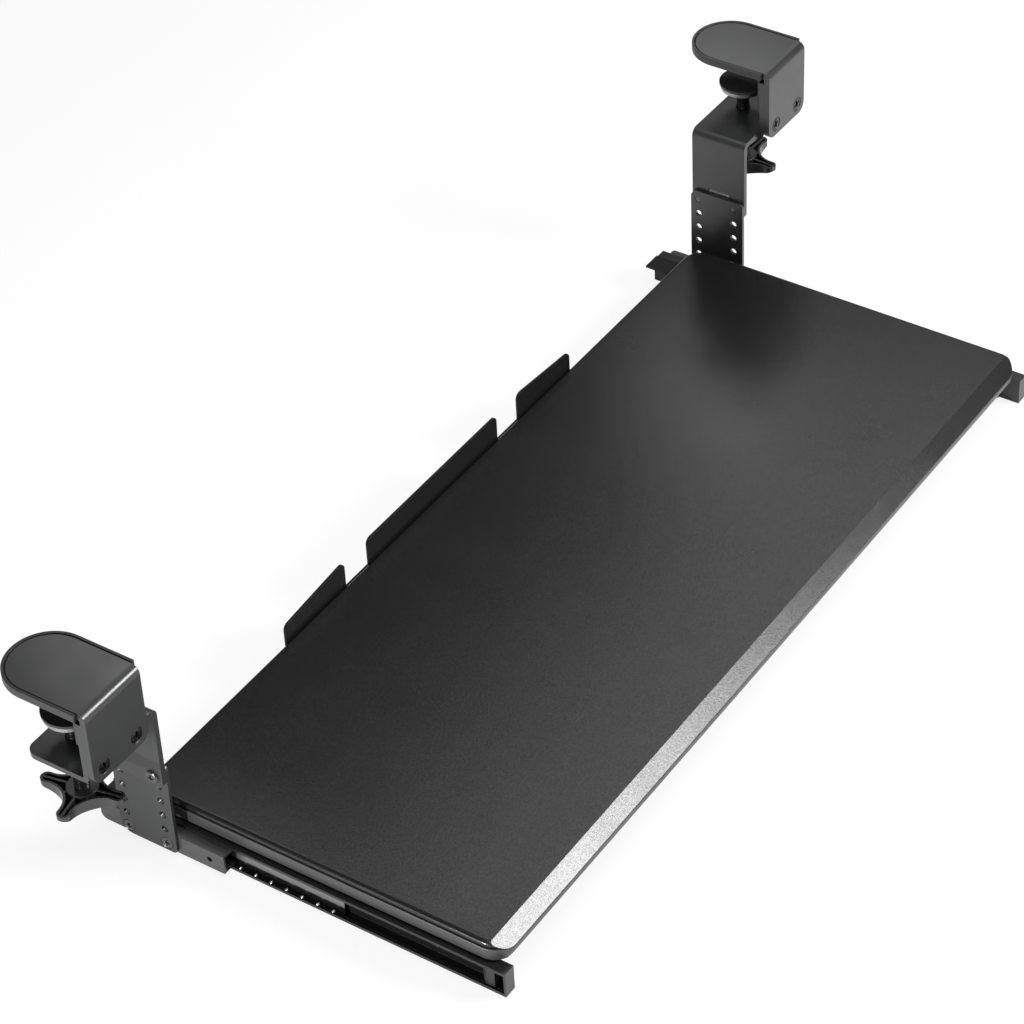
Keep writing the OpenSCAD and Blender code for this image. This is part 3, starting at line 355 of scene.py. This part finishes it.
def screwSet(name, nodeName, material, places, size):
    # places: (centre of the head's face in mm, outward direction).
    # Rings run from the middle of the face over the rim and down the shank; side gives those past the face as
    # (radius, height over the face). Each head is turned further than the one before, as screws come to rest.
    count = size["around"]
    angle = np.arange(count) * 2 * np.pi / count
    faceR = np.linspace(size["middleR"], size["faceR"], size["rings"])
    domed = size["dome"] * (1 - (faceR / size["faceR"]) ** 2)
    x, y = faceR[:, None] * np.cos(angle), faceR[:, None] * np.sin(angle)
    faceT = domed[:, None] - crossRecess(x, y, size["recess"])
    sideR, sideT = (np.array(values)[:, None] for values in zip(*size["side"]))
    x = np.concatenate([x, sideR * np.cos(angle)])
    y = np.concatenate([y, sideR * np.sin(angle)])
    t = np.concatenate([faceT, np.repeat(sideT, count, 1)])
    rows = len(x)
    points, faces = [], []
    for index, (place, outwardAxis) in enumerate(places):
        w = np.array(outwardAxis, float)
        u = np.cross(np.array([0, 0, 1.0]), w)
        v = np.cross(w, u)
        cos, sin = math.cos(size["turnEach"] * index), math.sin(size["turnEach"] * index)
        u, v = u * cos + v * sin, v * cos - u * sin
        solid = np.array(place, float) + x[..., None] * u + y[..., None] * v + t[..., None] * w
        first = index * rows * count
        last = first + rows * count
        middle, shankEnd = list(range(first, first + count)), list(range(last - count, last))[::-1]
        faces += gridFaces(rows, count, first, flip=True) + [middle, shankEnd]
        points.append(solid.reshape(-1, 3))
    return addPiece(name, np.concatenate(points), faces, material, "frame", nodeName)


recess = {"wing": 0.85, "reach": 3.2, "depth": 2.2, "wall": 0.3, "rise": 0.45}
holeRowsY = (7.4, 38.4)

# Two screws a side in the clamp's front plate, let into its face
clampScrew = {"x": 403.0, "halfGap": 15.7, "y": -10.2, "z": -43.5,
              "faceR": 5.1, "middleR": 0.02, "dome": 0.25, "rings": 40, "around": 96, "turnEach": 1.6904,
              "recess": recess, "side": [(5.35, -0.05), (5.5, -0.25), (3.0, -2.7), (3.0, -8.0), (2.5, -8.1)]}
clampPlaces = [((s * (clampScrew["x"] + g * clampScrew["halfGap"]), clampScrew["y"], clampScrew["z"]), (0, -1, 0))
               for s in (-1, 1) for g in (-1, 1)]
screwSet("clampScrewHeads", "clamp_screws", blackOxide, clampPlaces, clampScrew)

# Two low pan heads a side on the hanger
hangerScrew = {"x": 363.0, "z": -109.5,
               "faceR": 3.3, "middleR": 0.02, "dome": 0.25, "rings": 36, "around": 96, "turnEach": 2.017,
               "recess": {**recess, "wing": 0.7, "reach": 2.5, "depth": 1.9},
               "side": [(4.2, -0.35), (4.7, -0.8), (4.9, -1.3), (4.9, -2.0), (2.5, -2.02), (2.5, -8.3), (2.1, -8.4)]}
hangerPlaces = [((s * hangerScrew["x"], y, hangerScrew["z"]), (s, 0, 0)) for s in (-1, 1) for y in holeRowsY]
screwSet("hangerScrewHeads", "hanger_screws", paintedScrew, hangerPlaces, hangerScrew)

# Two countersunk heads a side at the side plate's foot, a little under size, so that a dark ring shows round them
slideScrew = {"x": 356.9, "z": -172.5,
              "faceR": 4.05, "middleR": 0.02, "dome": 0.15, "rings": 40, "around": 96, "turnEach": 2.9582,
              "recess": {**recess, "wing": 0.7, "reach": 2.5, "depth": 1.8},
              "side": [(4.25, -0.05), (4.35, -0.25), (2.5, -1.9), (2.5, -5.6), (2.1, -5.7)]}
slidePlaces = [((s * slideScrew["x"], y, slideScrew["z"]), (s, 0, 0)) for s in (-1, 1) for y in holeRowsY]
screwSet("slideScrewHeads", "slide_screws", paintedScrew, slidePlaces, slideScrew)
print("screws built")

# White floor just under the part. The camera sees mostly plain white with the part's soft shadow in it; reflections
# see more of the lit paper and its shadows.
stage = {"floorDropMm": 0.5, "halfWidthM": 6.0, "paper": "#f4f4f4", "whiteShare": 0.84, "mirroredShare": 0.3,
         "roomLight": 0.11}
white = (1, 1, 1, 1)
floorZ = cadBox[0][2] - stage["floorDropMm"] * mm
half = stage["halfWidthM"]
floorMesh = bpy.data.meshes.new("floorMesh")
floorCorners = [(x * half, y * half, floorZ) for x, y in ((-1, -1), (1, -1), (1, 1), (-1, 1))]
floorMesh.from_pydata(floorCorners, [], [(0, 1, 2, 3)])
floor = bpy.data.objects.new("floor", floorMesh)
bpy.context.scene.collection.objects.link(floor)
# Matt white paper with a share of plain white, which gives the eye an endless bright studio sweep
floorLook = bpy.data.materials.new("matWhiteFloor")
floorLook.use_nodes = True
tree = floorLook.node_tree
tree.nodes.clear()
path = addNode(tree, "ShaderNodeLightPath")
byCamera = addNode(tree, "ShaderNodeMath", {"operation": "MULTIPLY", 1: stage["whiteShare"]},
                   {0: path.outputs["Is Camera Ray"]})
share = addNode(tree, "ShaderNodeMath", {"operation": "MULTIPLY_ADD", 1: stage["mirroredShare"]},
                {0: path.outputs["Is Glossy Ray"], 2: byCamera.outputs[0]})
paper = addNode(tree, "ShaderNodeBsdfDiffuse", {"Color": linearColour(stage["paper"])})
plainWhite = addNode(tree, "ShaderNodeEmission", {"Color": white, "Strength": 1.0})
blend = addNode(tree, "ShaderNodeMixShader", {}, {0: share.outputs[0], 1: paper.outputs[0], 2: plainWhite.outputs[0]})
addNode(tree, "ShaderNodeOutputMaterial", {}, {"Surface": blend.outputs[0]})
floorMesh.materials.append(floorLook)

world = bpy.data.worlds.new("softWhiteRoom")
bpy.context.scene.world = world
world.use_nodes = True
tree = world.node_tree
tree.nodes.clear()
path = addNode(tree, "ShaderNodeLightPath")
room = addNode(tree, "ShaderNodeBackground", {"Color": white, "Strength": stage["roomLight"]})
backdrop = addNode(tree, "ShaderNodeBackground", {"Color": white, "Strength": 1.0})
pick = addNode(tree, "ShaderNodeMixShader", {},
               {0: path.outputs["Is Camera Ray"], 1: room.outputs[0], 2: backdrop.outputs[0]})
addNode(tree, "ShaderNodeOutputWorld", {}, {"Surface": pick.outputs[0]})


def softBox(name, place, aim, size, power):
    lamp = bpy.data.lights.new(name, "AREA")
    lamp.shape = "RECTANGLE"
    lamp.size, lamp.size_y = size
    lamp.energy = power
    holder = bpy.data.objects.new(name, lamp)
    bpy.context.scene.collection.objects.link(holder)
    holder.location = place
    holder.rotation_euler = (Vector(aim) - Vector(place)).to_track_quat("-Z", "Y").to_euler()


# Place, aim and size in metres, power in watts. overheadBox lights every top face from a direction that none of them
# mirrors to the camera, slopeBox is what the board's slope and the clamps' bends mirror, sheenBox lays a soft sheen on
# the board's front half, each clampBox does so on one clamp's top plate, and leftBox opens the left sides
lamps = {
    "overheadBox": ((-0.5, -0.5, 1.6), (0.0, -0.1, -0.15), (1.0, 1.0), 16),
    "slopeBox": ((0.824, -1.643, 1.013), (-0.2, -0.24, -0.15), (0.78, 0.66), 49),
    "sheenBox": ((0.61, 0.075, 0.62), (0.61, 0.075, -0.15), (1.22, 0.51), 3.3),
    "clampBoxLeft": ((-0.16, 0.2, 0.25), (-0.16, 0.2, -0.15), (0.15, 0.14), 0.17),
    "clampBoxRight": ((0.643, 0.2, 0.25), (0.643, 0.2, -0.15), (0.15, 0.14), 0.17),
    "leftBox": ((-1.5, 0.02, -0.03), (-0.36, 0.02, -0.13), (0.12, 0.08), 17),
}
for lampName, lampValues in lamps.items():
    softBox(lampName, *lampValues)

# Camera at the photograph's angle: azimuth from straight ahead, elevation and roll in degrees
view = {"placeMm": (-1487.9, -1087.1, 1386.2), "azimuth": -54.5106, "elevation": 39.8408, "roll": -3.1289,
        "lensMm": 120.068, "sensorMm": 36, "shift": (-0.0028, 0.0003), "farM": 50}
az, el, roll = (math.radians(view[key]) for key in ("azimuth", "elevation", "roll"))
back = Vector((math.sin(az) * math.cos(el), -math.cos(az) * math.cos(el), math.sin(el)))
level = Vector((0, 0, 1)).cross(back).normalized()
upright = back.cross(level)
right = level * math.cos(roll) + upright * math.sin(roll)
up = back.cross(right)
axes = Matrix((right, up, back)).transposed().to_4x4()
camera = bpy.data.objects.new("photoCamera", bpy.data.cameras.new("photoCamera"))
bpy.context.scene.collection.objects.link(camera)
camera.matrix_world = Matrix.Translation(Vector(view["placeMm"]) * mm) @ axes
camera.data.sensor_width = view["sensorMm"]
camera.data.lens = view["lensMm"]
camera.data.shift_x, camera.data.shift_y = view["shift"]
camera.data.clip_end = view["farM"]
bpy.context.scene.camera = camera
bpy.context.scene.view_settings.view_transform = "Standard"
print("stage, lamps and camera set")
